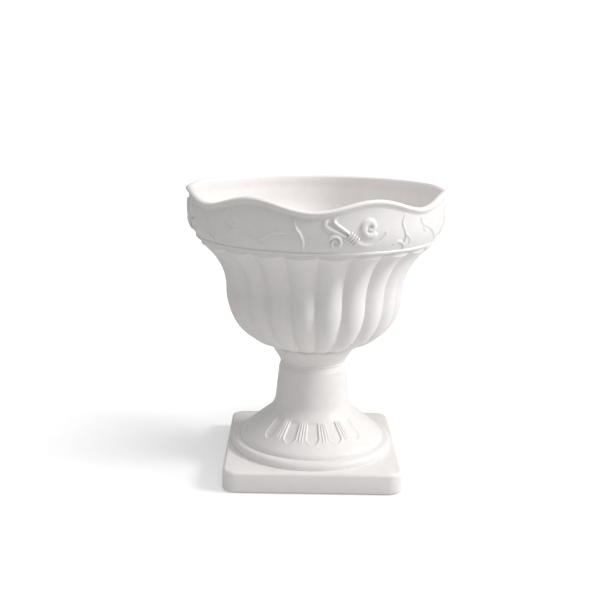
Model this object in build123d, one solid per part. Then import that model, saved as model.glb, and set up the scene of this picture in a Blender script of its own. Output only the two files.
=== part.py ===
from build123d import *
from math import acos, atan2, cos, degrees, pi, radians, sin, sqrt
import os

# A classical pedestal urn for plants, moulded in white plastic in two halves.
# The fluted bowl has a wavy rolled rim, an ovolo band and a collar, and its
# hollow spigot drops into the mouth of the stem. A hand bolt through the bowl's
# floor, with a washer and a rubber seal, screws into a nut held under the
# stem's deck. Rubber plugs close the bowl's drain holes, water runs over the deck
# to the holes between them, and rubber pads stand the square plinth off the floor.
# Sizes are in millimetres. Z points up and the front faces -Y. The origin is the
# middle of the footprint, on the surface that the urn stands on.

# Plinth
plinth_side = 205.0
plinth_height = 24.0
plinth_corner_radius = 16.0
plinth_top_round = 4.0
plinth_bottom_round = 1.2
pedestal_wall = 3.0

# Pads under the plinth
pad_radius = 9.0
pad_thickness = 4.0
pad_recess_depth = 2.5
pad_inset = 26.0
pad_boss_wall = 3.0
pad_clearance = 0.1
pad_edge_chamfer = 0.5
web_thickness = 2.6

# Foot rings and the sloping foot
lower_ring_inset = 5.5
lower_ring_height = 9.0
lower_ring_round = 6.0
ring_step = 10.0
upper_ring_height = 3.5
upper_ring_round = 9.0
foot_cone_height = 34.5
foot_cone_round = 28.0

# Stem and the socket in its top
stem_foot_radius = 45.2
stem_top_radius = 40.6
stem_height = 49.0
stem_mouth_radius = 38.2
stem_mouth_height = 6.0
deck_thickness = 4.0
deck_hole_radius = 7.0
boss_wall = 3.7
boss_height = 10.0

# Spigot of the bowl, and the keys that set its front to the foot's front
spigot_radius = 34.6
spigot_length = 14.0
spigot_wall = 3.4
spigot_clearance = 0.3
spigot_end_gap = 0.5
key_count = 2
key_width = 6.0
key_height = 1.6
key_clearance = 0.3

# Collar and the two tangent curves of the fluted body
collar_foot_radius = 39.0
collar_ring_height = 3.0
collar_cone_height = 20.5
collar_top_radius = 51.5
belly_radius = 104.3
lower_curve = 65.3
upper_curve = 72.0
cove_flare = 29.7
body_wall = 5.6
bowl_floor = 3.5

# Flutes
flute_count = 22
flute_depth = 3.0
flute_share = 0.92
flute_proud = 0.6
flute_bulge = 0.9
flute_stations = 5

# Bead, band and wavy rolled rim
bead_height = 6.0
bead_proud = 2.2
bead_flare = 1.5
band_flare = 10.9
band_curve = 41.4
band_wall = 3.4
rim_rise = 30.0
rim_wave_count = 7
rim_wave_depth = 11.6
rim_wave_full_angle = 45.0
rim_wave_end_angle = 110.0
rim_points_per_wave = 8
lip_thickness = 8.6
lip_overhang = 3.8

# Hand bolt, washer, seal and nut
bolt_diameter = 10.0
bolt_tail = 2.5
thread_clearance = 0.05
bolt_hole_clearance = 0.4
knob_radius = 12.5
knob_height = 10.0
knob_lobes = 6
knob_scallop_radius = 4.0
knob_scallop_depth = 2.2
knob_round = 1.2
washer_radius = 12.0
washer_thickness = 1.6
seal_radius = 13.0
seal_thickness = 2.0
nut_across_flats = 17.0
nut_thickness = 8.0
nut_clearance = 0.05

# Drain plugs
plug_count = 3
plug_circle_radius = 21.5
plug_stem_radius = 5.6
plug_clearance = 0.08
plug_recess = 0.4
plug_lead_chamfer = 0.8
plug_flange_radius = 8.0
plug_flange_thickness = 2.0
plug_tab_width = 8.0
plug_tab_thickness = 2.4
plug_tab_height = 6.5

# Heights that follow from the sizes above
plinth_bottom_z = pad_thickness - pad_recess_depth
plinth_top_z = plinth_bottom_z + plinth_height
lower_ring_top_z = plinth_top_z + lower_ring_height
upper_ring_top_z = lower_ring_top_z + upper_ring_height
stem_foot_z = upper_ring_top_z + foot_cone_height
stem_top_z = stem_foot_z + stem_height
seat_z = stem_top_z + stem_mouth_height
spigot_bottom_z = seat_z - spigot_length
bowl_floor_z = spigot_bottom_z + bowl_floor
deck_top_z = spigot_bottom_z - spigot_end_gap
deck_bottom_z = deck_top_z - deck_thickness
boss_bottom_z = deck_bottom_z - boss_height
nut_bottom_z = boss_bottom_z + thread_clearance
nut_top_z = nut_bottom_z + nut_thickness
seal_top_z = bowl_floor_z + seal_thickness
washer_top_z = seal_top_z + washer_thickness
bolt_bottom_z = nut_bottom_z - bolt_tail
collar_ring_z = seat_z + collar_ring_height
collar_top_z = collar_ring_z + collar_cone_height

# Radii of the foot's rings, inside the plinth's side, and of the flaring bowl
lower_ring_radius = plinth_side / 2 - lower_ring_inset
upper_ring_radius = lower_ring_radius - ring_step
cove_top_radius = belly_radius + cove_flare
band_foot_radius = cove_top_radius + bead_flare
band_radius = band_foot_radius + band_flare

# Centres of the body's curves: the lower one bulges out to the belly, and the
# upper one sweeps from the belly out to the foot of the bead
lower_centre_radius = belly_radius - lower_curve
lower_start_angle = -acos((collar_top_radius - lower_centre_radius) / lower_curve)
belly_z = collar_top_z - lower_curve * sin(lower_start_angle)
upper_centre_radius = belly_radius + upper_curve
upper_end_angle = pi - acos((upper_centre_radius - cove_top_radius) / upper_curve)
cove_top_z = belly_z + upper_curve * sin(upper_end_angle)
band_foot_z = cove_top_z + bead_height
band_centre_radius = band_radius - band_curve
band_start_angle = -acos((band_foot_radius - band_centre_radius) / band_curve)
band_turn_z = band_foot_z - band_curve * sin(band_start_angle)
rim_crest_z = band_turn_z + rim_rise

# Radii that follow
bolt_radius = bolt_diameter / 2
bolt_hole_radius = bolt_radius + bolt_hole_clearance
socket_radius = spigot_radius + spigot_clearance
well_radius = spigot_radius - spigot_wall
boss_radius = nut_across_flats / sqrt(3) + boss_wall
lip_radius = lip_thickness / 2
lip_ring_radius = band_radius + lip_overhang - lip_radius
pad_reach = plinth_side / 2 - pad_inset
cut_margin = 20.0


def polar(radius, angle, z=0.0):
    """A point at this radius and height, at an angle in radians from the X axis."""
    return (radius * cos(angle), radius * sin(angle), z)


def on_curve(centre_radius, centre_z, curve, angle):
    """A point of a meridian curve, as radius and height."""
    return (centre_radius + curve * cos(angle), centre_z + curve * sin(angle))


def meridian_arc(centre_radius, centre_z, curve, start, end):
    """An arc of the outline through its two ends and its middle."""
    ends = [on_curve(centre_radius, centre_z, curve, angle) for angle in (start, (start + end) / 2, end)]
    return ThreePointArc(*ends)


def turned(outline):
    """The solid that a closed outline of radius and height sweeps round the Z axis."""
    return revolve(Plane.XZ * make_face(outline), Axis.Z, 360)


def drum(radius, bottom, top):
    """A plain cylinder about the Z axis between two heights."""
    return Pos(0, 0, bottom) * extrude(Circle(radius), top - bottom)


def body_curves(wall):
    """The lower, upper and band curves, moved inwards by the body's or band's wall."""
    lower = meridian_arc(lower_centre_radius, belly_z, lower_curve - wall, lower_start_angle, 0)
    upper = meridian_arc(upper_centre_radius, belly_z, upper_curve + wall, pi, upper_end_angle)
    band_inset = band_wall if wall else 0
    band = meridian_arc(band_centre_radius, band_turn_z, band_curve - band_inset, band_start_angle, 0)
    return lower, upper, band


def bowl_outside():
    """The bowl as a full block: spigot, collar, belly, cove, bead and band."""
    lower, upper, band = body_curves(0)
    bead_middle = (cove_top_radius + bead_proud, cove_top_z + bead_height / 2)
    bead = ThreePointArc(upper @ 1, bead_middle, band @ 0)
    foot = Polyline(
        (0, spigot_bottom_z),
        (spigot_radius, spigot_bottom_z),
        (spigot_radius, seat_z),
        (collar_foot_radius, seat_z),
        (collar_foot_radius, collar_ring_z),
        lower @ 0,
    )
    top = Polyline(band @ 1, (band_radius, rim_crest_z), (0, rim_crest_z), (0, spigot_bottom_z))
    return turned([foot, lower, upper, bead, band, top])


def bowl_hollow():
    """The space inside the bowl, down to the floor of its well."""
    lower, upper, band = body_curves(body_wall)
    well = Polyline((0, bowl_floor_z), (well_radius, bowl_floor_z), (well_radius, seat_z), lower @ 0)
    step = Line(upper @ 1, band @ 0)
    inner_radius = band_radius - band_wall
    top_z = rim_crest_z + cut_margin
    top = Polyline(band @ 1, (inner_radius, top_z), (0, top_z), (0, bowl_floor_z))
    return turned([well, lower, upper, step, band, top])


def flute_section(place, direction):
    """The outline of a groove, a wedge whose flanks are the round sides of two ribs."""
    half_width = flute_share * pi * place.X / flute_count
    plane = Plane(origin=place, x_dir=(0, 1, 0), z_dir=direction)
    valley = (0, flute_depth)
    left = (-half_width, -flute_proud)
    right = (half_width, -flute_proud)
    middle_y = (flute_depth - flute_proud) / 2 - flute_bulge
    middle_x = half_width / 2 - flute_bulge * flute_depth / half_width
    flanks = [
        ThreePointArc(left, (-middle_x, middle_y), valley),
        ThreePointArc(valley, (middle_x, middle_y), right),
        Line(right, left),
    ]
    return plane * make_face(flanks)


def flute_groove():
    """One groove of the body, which widens with the radius from collar to bead."""
    lower, upper, _ = body_curves(0)
    path = Plane.XZ * Wire([lower.edge(), upper.edge()])
    steps = [index / (flute_stations - 1) for index in range(flute_stations)]
    sections = [flute_section(path @ step, path % step) for step in steps]
    return sweep(sections, path=path, multisection=True)


def rim_wave(angle):
    """How far the rim dips at an angle from the front: waves that fade to a level back."""
    turn = abs(angle)
    start = radians(rim_wave_full_angle)
    end = radians(rim_wave_end_angle)
    share = min(max((turn - start) / (end - start), 0), 1)
    fade = 1 - share * share * (3 - 2 * share)
    return rim_wave_depth * fade * (1 + cos(rim_wave_count * angle)) / 2


def rim_angles():
    """Even angles round the right half of the rim, from the front to the back."""
    count = rim_wave_count * rim_points_per_wave // 2
    return [pi * index / count for index in range(count + 1)]


def rim_point(radius, angle):
    """A point on the middle line of the rolled rim, at an angle from the front."""
    return polar(radius, angle - pi / 2, rim_crest_z - lip_radius - rim_wave(angle))


def rim_edge(radius):
    """The right half of the rim's middle line, moved out or in to a radius."""
    points = [rim_point(radius, angle) for angle in rim_angles()]
    return Spline(points, tangents=[(1, 0, 0), (-1, 0, 0)]).edge()


def above_rim():
    """Everything above the wavy top of the band's wall, as two halves."""
    inside = rim_edge(band_radius - band_wall - cut_margin)
    outside = rim_edge(band_radius + cut_margin)
    surface = Face.make_surface_from_curves(inside, outside)
    half = extrude(surface, amount=rim_wave_depth + cut_margin, dir=(0, 0, 1))
    return [half, mirror(half, Plane.YZ)]


def lip_section(angle):
    """The round section of the rolled rim, upright at an angle from the front."""
    outward = Vector(*polar(1, angle - pi / 2))
    centre = Vector(*rim_point(lip_ring_radius, angle))
    return Plane(origin=centre, x_dir=outward, z_dir=Vector(0, 0, 1).cross(outward)) * Circle(lip_radius)


def rolled_lip():
    """The round bead that follows the wavy edge, as two halves."""
    half = loft([lip_section(angle) for angle in rim_angles()])
    return [half, mirror(half, Plane.YZ)]


def spigot_keys(clearance):
    """The keys beside the spigot, or with a clearance the slots that take them."""
    reach = spigot_radius + key_height + clearance
    width = key_width + 2 * clearance
    key = Box(key_height + spigot_wall / 2 + clearance, width, spigot_length + clearance,
              align=(Align.MAX, Align.CENTER, Align.MAX))
    return [Rot(0, 0, 360 * index / key_count) * Pos(reach, 0, seat_z) * key for index in range(key_count)]


def drain_places(turn=0.0):
    """Middles of the drain holes: the first at the back, or an angle further round."""
    start = pi / 2 + turn
    return [polar(plug_circle_radius, start + 2 * pi * index / plug_count) for index in range(plug_count)]


def drain_holes(radius, bottom, top, turn=0.0):
    """Round holes at the drain places between two heights."""
    return [Pos(x, y, 0) * drum(radius, bottom, top) for x, y, _ in drain_places(turn)]


def make_bowl():
    """The whole bowl moulding."""
    bowl = bowl_outside() - bowl_hollow() - above_rim() + rolled_lip()
    bowl += spigot_keys(0)
    hole_bottom = spigot_bottom_z - cut_margin
    hole_top = bowl_floor_z + cut_margin
    bowl -= drum(bolt_hole_radius, hole_bottom, hole_top)
    bowl -= drain_holes(plug_stem_radius + plug_clearance, hole_bottom, hole_top)
    groove = flute_groove()
    return bowl - [Rot(0, 0, 360 * index / flute_count) * groove for index in range(flute_count)]


def plinth_block(side, corner_radius, bottom, top):
    """A square block with round corners between two heights."""
    return Pos(0, 0, bottom) * extrude(RectangleRounded(side, side, corner_radius), top - bottom)


def plinth_outside():
    """The plinth as a full block, with its edges rounded."""
    block = plinth_block(plinth_side, plinth_corner_radius, plinth_bottom_z, plinth_top_z)
    block = fillet(block.faces().sort_by(Axis.Z)[-1].edges(), plinth_top_round)
    return fillet(block.faces().sort_by(Axis.Z)[0].edges(), plinth_bottom_round)


def foot_outside():
    """The rings, the sloping foot and the stem as one full block."""
    lower_ring = drum(lower_ring_radius, plinth_top_z - plinth_top_round, lower_ring_top_z)
    lower_ring = fillet(lower_ring.faces().sort_by(Axis.Z)[-1].edges(), lower_ring_round)
    slope = FilletPolyline(
        (upper_ring_radius, plinth_top_z),
        (upper_ring_radius, upper_ring_top_z),
        (stem_foot_radius, stem_foot_z),
        (stem_top_radius, stem_top_z),
        (stem_mouth_radius, seat_z),
        radius=[upper_ring_round, foot_cone_round, stem_mouth_height],
    )
    close = Polyline(slope @ 1, (0, seat_z), (0, plinth_top_z), slope @ 0)
    return lower_ring + turned([slope, close])


def pedestal_hollow():
    """The space under the deck: the stem, the sloping foot, the rings and the plinth."""
    wall = pedestal_wall
    cone_slope = foot_cone_height / (upper_ring_radius - stem_foot_radius)
    cone_drop = wall * (sqrt(1 + cone_slope ** 2) - cone_slope)
    slope = FilletPolyline(
        (upper_ring_radius - wall, plinth_bottom_z),
        (upper_ring_radius - wall, upper_ring_top_z - cone_drop),
        (stem_foot_radius - wall, stem_foot_z - cone_drop),
        (stem_top_radius - wall, deck_bottom_z),
        radius=[upper_ring_round - wall, foot_cone_round + wall],
    )
    close = Polyline(slope @ 1, (0, deck_bottom_z), (0, plinth_bottom_z), slope @ 0)
    hollow = turned([slope, close])
    hollow += drum(lower_ring_radius - wall, plinth_bottom_z, lower_ring_top_z - wall)
    hollow += plinth_block(plinth_side - 2 * wall, plinth_corner_radius - wall,
                           plinth_bottom_z - cut_margin, plinth_top_z - wall)
    return hollow


def pad_places():
    """The middles of the four corner pads."""
    return [(x * pad_reach, y * pad_reach) for x, y in ((-1, -1), (1, -1), (1, 1), (-1, 1))]


def pad_bosses():
    """Posts inside the plinth that carry the pads, each tied to its corner by a web."""
    radius = pad_radius + pad_boss_wall
    top = plinth_top_z - pedestal_wall / 2
    post = drum(radius, plinth_bottom_z, top)
    web_height = plinth_height - plinth_bottom_round - pedestal_wall / 2
    web_length = sqrt(2) * (pad_inset - plinth_corner_radius) + plinth_corner_radius - pedestal_wall / 2
    web = Box(web_length, web_thickness, web_height, align=(Align.MIN, Align.CENTER, Align.MAX))
    posts = []
    for x, y in pad_places():
        turn = Rot(0, 0, degrees(atan2(y, x)))
        posts.append(Pos(x, y, 0) * post)
        posts.append(Pos(x, y, top) * turn * web)
    return posts


def nut_shape(clearance):
    """The nut's six-sided outline, grown by a clearance."""
    return RegularPolygon(radius=nut_across_flats / 2 + clearance, side_count=6, major_radius=False)


def make_pedestal():
    """The whole pedestal moulding."""
    pedestal = plinth_outside() + foot_outside() - pedestal_hollow()
    pedestal += drum(boss_radius, boss_bottom_z, deck_top_z)
    pedestal += pad_bosses()
    pedestal -= drum(socket_radius, deck_top_z, seat_z + cut_margin)
    pedestal -= spigot_keys(key_clearance)
    pedestal -= drum(bolt_hole_radius, boss_bottom_z - cut_margin, deck_top_z + cut_margin)
    pocket = extrude(nut_shape(nut_clearance), nut_top_z - boss_bottom_z + cut_margin)
    pedestal -= Pos(0, 0, boss_bottom_z - cut_margin) * pocket
    pedestal -= drain_holes(deck_hole_radius, deck_bottom_z - cut_margin, deck_top_z + cut_margin,
                            turn=pi / plug_count)
    recess = drum(pad_radius + pad_clearance, plinth_bottom_z - cut_margin, plinth_bottom_z + pad_recess_depth)
    pedestal -= [Pos(x, y, 0) * recess for x, y in pad_places()]
    return pedestal


def make_foot_pad(x, y):
    """A round rubber pad in its recess, which reaches the floor."""
    pad = drum(pad_radius, 0, pad_thickness)
    pad = chamfer(pad.faces().sort_by(Axis.Z)[0].edges(), pad_edge_chamfer)
    return Pos(x, y, 0) * pad


def make_clamp_bolt():
    """The hand bolt: a scalloped knob on a plain shank."""
    knob = drum(knob_radius, washer_top_z, washer_top_z + knob_height)
    reach = knob_radius + knob_scallop_radius - knob_scallop_depth
    scallop = drum(knob_scallop_radius, washer_top_z, washer_top_z + knob_height)
    for index in range(knob_lobes):
        x, y, _ = polar(reach, 2 * pi * index / knob_lobes)
        knob -= Pos(x, y, 0) * scallop
    knob = fillet(knob.faces().sort_by(Axis.Z)[-1].edges(), knob_round)
    return knob + drum(bolt_radius, bolt_bottom_z, washer_top_z)


def make_ring(outer_radius, inner_radius, bottom, top):
    """A flat ring between two heights."""
    return drum(outer_radius, bottom, top) - drum(inner_radius, bottom, top)


def make_captive_nut():
    """The six-sided nut under the deck."""
    nut = Pos(0, 0, nut_bottom_z) * extrude(nut_shape(0), nut_thickness)
    return nut - drum(bolt_radius + thread_clearance, nut_bottom_z, nut_top_z)


def make_drain_plug(x, y):
    """A rubber plug: a stem in the drain hole, a flange on the floor and a pull tab."""
    flange_top_z = bowl_floor_z + plug_flange_thickness
    plug = drum(plug_stem_radius, spigot_bottom_z + plug_recess, bowl_floor_z)
    plug = chamfer(plug.faces().sort_by(Axis.Z)[0].edges(), plug_lead_chamfer)
    plug += drum(plug_flange_radius, bowl_floor_z, flange_top_z)
    tab = Box(plug_tab_width, plug_tab_thickness, plug_tab_height, align=(Align.CENTER, Align.CENTER, Align.MIN))
    tab = fillet(tab.edges().filter_by(Axis.Y).sort_by(Axis.Z)[-2:], plug_tab_thickness)
    return Pos(x, y, 0) * (plug + Pos(0, 0, flange_top_z) * tab)


def write(name, shape):
    """Write one piece to its own file."""
    export_step(shape, f"parts/{name}.step")


os.makedirs("parts", exist_ok=True)
write("bowl", make_bowl())
write("pedestal", make_pedestal())
write("clamp_bolt", make_clamp_bolt())
write("flat_washer", make_ring(washer_radius, bolt_hole_radius, seal_top_z, washer_top_z))
write("seal_washer", make_ring(seal_radius, bolt_hole_radius, bowl_floor_z, seal_top_z))
write("captive_nut", make_captive_nut())
for number, (x, y, _) in enumerate(drain_places(), start=1):
    write(f"drain_plug_{number}", make_drain_plug(x, y))
for number, (x, y) in enumerate(pad_places(), start=1):
    write(f"foot_pad_{number}", make_foot_pad(x, y))
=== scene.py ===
from math import radians

import bpy
import numpy as np
from mathutils import Matrix, Vector


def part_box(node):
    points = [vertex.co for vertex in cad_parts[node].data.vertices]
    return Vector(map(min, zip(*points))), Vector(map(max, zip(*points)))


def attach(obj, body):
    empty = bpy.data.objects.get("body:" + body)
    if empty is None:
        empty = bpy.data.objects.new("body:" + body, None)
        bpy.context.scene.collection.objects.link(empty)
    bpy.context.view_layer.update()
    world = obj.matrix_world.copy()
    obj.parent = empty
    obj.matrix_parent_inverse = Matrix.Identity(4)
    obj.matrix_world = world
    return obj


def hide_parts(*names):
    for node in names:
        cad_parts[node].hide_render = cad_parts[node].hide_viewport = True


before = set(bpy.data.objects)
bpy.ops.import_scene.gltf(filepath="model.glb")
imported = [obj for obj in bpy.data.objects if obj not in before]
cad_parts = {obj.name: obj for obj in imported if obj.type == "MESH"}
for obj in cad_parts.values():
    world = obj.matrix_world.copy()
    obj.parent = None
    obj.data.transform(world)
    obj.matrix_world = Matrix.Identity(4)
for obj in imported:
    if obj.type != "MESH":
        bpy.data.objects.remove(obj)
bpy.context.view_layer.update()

# A white plastic pedestal urn. The bowl and the pedestal are worked out here as
# closed skins of rings, with the moulded relief in their surfaces. The small
# fittings keep their own solids, apart from the hand bolt, which gets its thread.
# Sizes are in millimetres and are turned into metres when a mesh is made. Angles
# go round the Z axis from the front, which faces -Y, towards +X.

bl_info = {
    "name": "Pedestal urn",
    "version": (1, 0, 0),
    "blender": (4, 5, 0),
    "location": "3D View > Sidebar > Urn",
    "description": "Builds the relief, finishes and stage of a plastic pedestal urn",
    "category": "Object",
}

MM = 0.001
crest_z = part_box("bowl")[1].z / MM
seat_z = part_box("pedestal")[1].z / MM
spigot_bottom_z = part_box("bowl")[0].z / MM
plinth_bottom_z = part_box("pedestal")[0].z / MM
half_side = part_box("pedestal")[1].x / MM
floor_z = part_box("seal_washer")[0].z / MM
nut_bottom_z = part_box("captive_nut")[0].z / MM
washer_top_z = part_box("flat_washer")[1].z / MM
bolt_bottom_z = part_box("clamp_bolt")[0].z / MM

# Radii and heights of the bowl, as the solids have them
spigot_radius = 34.6
well_radius = 31.2
collar_foot_radius = 39.0
collar_ring_z = seat_z + 3.0
collar_top_radius = 51.5
collar_top_z = seat_z + 23.5
belly_radius = 104.3
lower_curve = 65.3
upper_curve = 72.0
body_wall = 5.6
cove_top_radius = 134.0
bead_height = 6.0
ledge_foot_radius = 135.2
ledge_round = 1.9
band_foot_radius = 135.5
band_radius = 146.4
band_curve = 41.4
band_wall = 3.4
lip_half_width = 4.0
lip_half_height = 2.9
lip_overhang = 3.8
lip_ring_radius = band_radius + lip_overhang - lip_half_width
lip_underside_gap = 2.4
inner_wall_drop = 9.0
wave_full_angle = 45.0
wave_end_angle = 110.0
bolt_hole_radius = 5.4
drain_circle_radius = 21.5
drain_hole_radius = 5.68
drain_count = 3

# Heights and centres of the bowl's curves
lower_centre_radius = belly_radius - lower_curve
lower_start = -np.arccos((collar_top_radius - lower_centre_radius) / lower_curve)
belly_z = collar_top_z - lower_curve * np.sin(lower_start)
upper_centre_radius = belly_radius + upper_curve
upper_end = np.pi - np.arccos((upper_centre_radius - cove_top_radius) / upper_curve)
cove_top_z = belly_z + upper_curve * np.sin(upper_end)
band_foot_z = cove_top_z + bead_height
ledge_foot_z = band_foot_z - 0.4
ledge_top_z = ledge_foot_z + 3.6
band_centre_radius = band_radius - band_curve
band_start = -np.arccos((band_foot_radius - band_centre_radius) / band_curve)
band_turn_z = band_foot_z - band_curve * np.sin(band_start)

# Radii and heights of the pedestal
plinth_top_z = plinth_bottom_z + 24.0
plinth_corner = 16.0
plinth_round = 4.0
plinth_bottom_round = 1.2
wall = 3.0
lower_ring_radius = 97.0
lower_ring_round = 6.0
step_round = 9.0
waist_round = 28.0
neck_round = 6.0
lower_ring_z = plinth_top_z + 9.0
upper_ring_radius = 87.0
upper_ring_z = lower_ring_z + 3.5
stem_foot_radius = 45.2
stem_foot_z = upper_ring_z + 34.5
stem_top_radius = 40.6
stem_top_z = seat_z - 6.0
stem_mouth_radius = 38.2
socket_radius = 34.9
deck_top_z = spigot_bottom_z - 0.5
deck_bottom_z = deck_top_z - 4.0
boss_bottom_z = deck_bottom_z - 10.0
boss_radius = 13.5
deck_hole_radius = 7.0
nut_half_width = 8.5
nut_thickness = 8.0
nut_clearance = 0.05
key_width = 6.0
key_height = 1.6
key_clearance = 0.3
pad_reach = 76.5
pad_hole_radius = 9.1
pad_recess = 2.5
pad_clearance = 0.1
pad_boss_wall = 3.0
web_half_thickness = 1.3
web_start = 9.6
web_length = 19.0
soft_angle = 38


def measure(name, description, default, low, high, **kind):
    """A setting that is a number between two limits."""
    return bpy.props.FloatProperty(
        name=name, description=description, default=default, min=low, max=high, **kind)


def tally(name, description, default, low, high):
    """A setting that is a whole number between two limits."""
    return bpy.props.IntProperty(name=name, description=description, default=default, min=low, max=high)


def tint(name, description, default):
    """A setting that is a colour."""
    return bpy.props.FloatVectorProperty(
        name=name, description=description, default=default, subtype="COLOR", size=3, min=0.0, max=1.0)


class UrnShape(bpy.types.PropertyGroup):
    """Sizes of the moulded detail."""
    flute_count: tally("Flutes", "Ribs round the bowl's body", 22, 8, 48)
    flute_depth: measure("Flute depth", "How deep the valleys between ribs are, in mm", 5.0, 0.5, 5.2)
    wave_count: tally("Rim waves", "Waves in a full turn of the rim", 7, 3, 16)
    wave_depth: measure("Rim wave depth", "How far the front of the rim dips, in mm", 11.6, 0.0, 11.6)
    wave_turn: measure("Rim wave turn", "How far the waves are turned to the left, in degrees", 2.5, -180, 180)
    relief_height: measure("Relief height", "How proud the band's scrolls stand, in mm", 2.6, 0.0, 3.2)
    leaf_height: measure("Leaf height", "How proud the foot's leaves stand, in mm", 1.5, 0.0, 2.5)


class UrnFinish(bpy.types.PropertyGroup):
    """Colours of the materials."""
    plastic: tint("Plastic", "Colour of the moulded plastic", (0.875, 0.85, 0.838))
    shade: tint("Hollows", "Colour of the plastic in its hollows", (0.815, 0.785, 0.768))
    rubber: tint("Rubber", "Colour of the pads and the seal", (0.035, 0.035, 0.036))
    plug: tint("Plug rubber", "Colour of the drain plugs", (0.16, 0.16, 0.155))
    steel: tint("Steel", "Colour of the washer and nut", (0.60, 0.60, 0.585))
    nylon: tint("Nylon", "Colour of the hand bolt", (0.80, 0.79, 0.76))


class UrnStage(bpy.types.PropertyGroup):
    """Floor, lights and camera."""
    floor: tint("Floor", "Colour of the floor and backdrop", (0.70, 0.70, 0.70))
    key_power: measure("Key light", "Power of the light on the right", 27.0, 0.0, 1000.0, subtype="POWER")
    fill_strength: measure("Surroundings", "Brightness of the white surroundings", 0.40, 0.0, 10.0)
    distance: measure("Distance", "From the urn's axis to the camera", 1.034, 0.3, 10.0, subtype="DISTANCE")
    height: measure("Height", "Height of the camera", 0.4375, 0.0, 10.0, subtype="DISTANCE")


def ramp(low, high, value):
    """Smooth step: 0 below low, 1 above high, and 3t^2 - 2t^3 between."""
    share = np.clip((value - low) / (high - low), 0.0, 1.0)
    return share * share * (3.0 - 2.0 * share)


def turn_angles(count):
    """Even angles once round, the first at the front."""
    return 2 * np.pi * np.arange(count) / count


def ring_points(angles, radius, height):
    """Points at (r sin a, -r cos a, z) for angles on the last axis, radius and height broadcast to them."""
    radius, height, angles = np.broadcast_arrays(radius, height, angles)
    return np.stack([radius * np.sin(angles), -radius * np.cos(angles), height], axis=-1)


def rows_of(profile, angles):
    """A profile of (radius, height) rows turned round the axis: a grid of rows by angles."""
    profile = np.asarray(profile, float)
    return ring_points(angles[None, :], profile[:, :1], profile[:, 1:])


def arc(centre, radius, start, end, count):
    """Points c + r (cos t, sin t) for count even values of t from start to end."""
    t = np.linspace(start, end, count)
    return np.stack([centre[0] + radius * np.cos(t), centre[1] + radius * np.sin(t)], axis=1)


def line(start, end, count):
    """Even points of a straight line, both ends included."""
    t = np.linspace(0.0, 1.0, count)[:, None]
    return (1 - t) * np.array(start, float) + t * np.array(end, float)


def rounded_corner(before, corner, after, radius, count):
    """The arc of that radius that touches the lines from corner to its two neighbours."""
    before, corner, after = (np.array(p, float) for p in (before, corner, after))
    back = (before - corner) / np.linalg.norm(before - corner)
    on = (after - corner) / np.linalg.norm(after - corner)
    half = np.arccos(np.clip(back @ on, -1, 1)) / 2
    middle = (back + on) / np.linalg.norm(back + on)
    centre = corner + middle * radius / np.sin(half)
    first = corner + back * radius / np.tan(half) - centre
    last = corner + on * radius / np.tan(half) - centre
    start = np.arctan2(first[1], first[0])
    sweep = (np.arctan2(last[1], last[0]) - start + np.pi) % (2 * np.pi) - np.pi
    return arc(centre, radius, start, start + sweep, count)


def slopes(profile):
    """Unit normals of a profile of rows, to the right of its direction."""
    along = np.gradient(profile, axis=0)
    along /= np.linalg.norm(along, axis=1, keepdims=True)
    return np.stack([along[:, 1], -along[:, 0]], axis=1)


class Skin:
    """A closed surface gathered from grids and strips, whose shared points are merged at the end."""

    def __init__(self):
        self.points = []
        self.faces = []
        self.size = 0

    def add(self, points, faces):
        """Points as n by 3, and faces as an array that indexes them."""
        self.points.append(points.reshape(-1, 3))
        self.faces.append(np.asarray(faces) + self.size)
        self.size += self.points[-1].shape[0]

    def grid(self, rows):
        """Quads between neighbours of a grid, rows by columns, which closes round each row."""
        height, width = rows.shape[:2]
        index = np.arange(height * width).reshape(height, width)
        index = np.concatenate([index, index[:, :1]], axis=1)
        quads = np.stack([index[:-1, :-1], index[:-1, 1:], index[1:, 1:], index[1:, :-1]], axis=-1)
        self.add(rows, quads.reshape(-1, 4))

    def join(self, coarse, fine, fine_above):
        """Triangles between a ring of n points and one of 2n points, which is above it or below it."""
        count = len(coarse)
        low = np.arange(count)
        after = (low + 1) % count
        high = count + 2 * low
        middle = high + 1
        last = count + (2 * low + 2) % (2 * count)
        corners = ((low, after, middle), (low, middle, high), (after, last, middle))
        faces = [np.stack((a, b, c) if fine_above else (a, c, b), axis=1) for a, b, c in corners]
        self.add(np.concatenate([coarse, fine]), np.concatenate(faces))

    def mesh(self, name, soft_angle):
        """The mesh in metres, with equal points merged and edges sharper than soft_angle left sharp."""
        points = np.concatenate(self.points)
        key = np.round(points / 0.0002 + 0.3137).astype(np.int64)
        _, first, merged = np.unique(key, axis=0, return_index=True, return_inverse=True)
        merged = merged.ravel()
        faces = []
        for block in self.faces:
            block = merged[block]
            distinct = np.all(block != np.roll(block, 1, axis=1), axis=1)
            faces += block[distinct].tolist()
            if block.shape[1] == 4:
                faces += [list(dict.fromkeys(quad)) for quad in block[~distinct].tolist()]
        faces = [face for face in faces if len(face) > 2]
        mesh = bpy.data.meshes.new(name)
        mesh.from_pydata((points[first] * MM).tolist(), [], faces)
        mesh.validate()
        mesh.shade_smooth()
        mesh.set_sharp_from_angle(angle=radians(soft_angle))
        return mesh


def place_piece(name, mesh, body, slot, material, *stands_for):
    """Puts a finished mesh in the scene, on its body and with its finish."""
    if name in bpy.data.objects:
        raise RuntimeError(f"{name} is already built")
    piece = bpy.data.objects.new(name, mesh)
    bpy.context.scene.collection.objects.link(piece)
    mesh.materials.append(material)
    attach(piece, body)
    if stands_for:
        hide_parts(*stands_for)
    return piece


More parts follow.
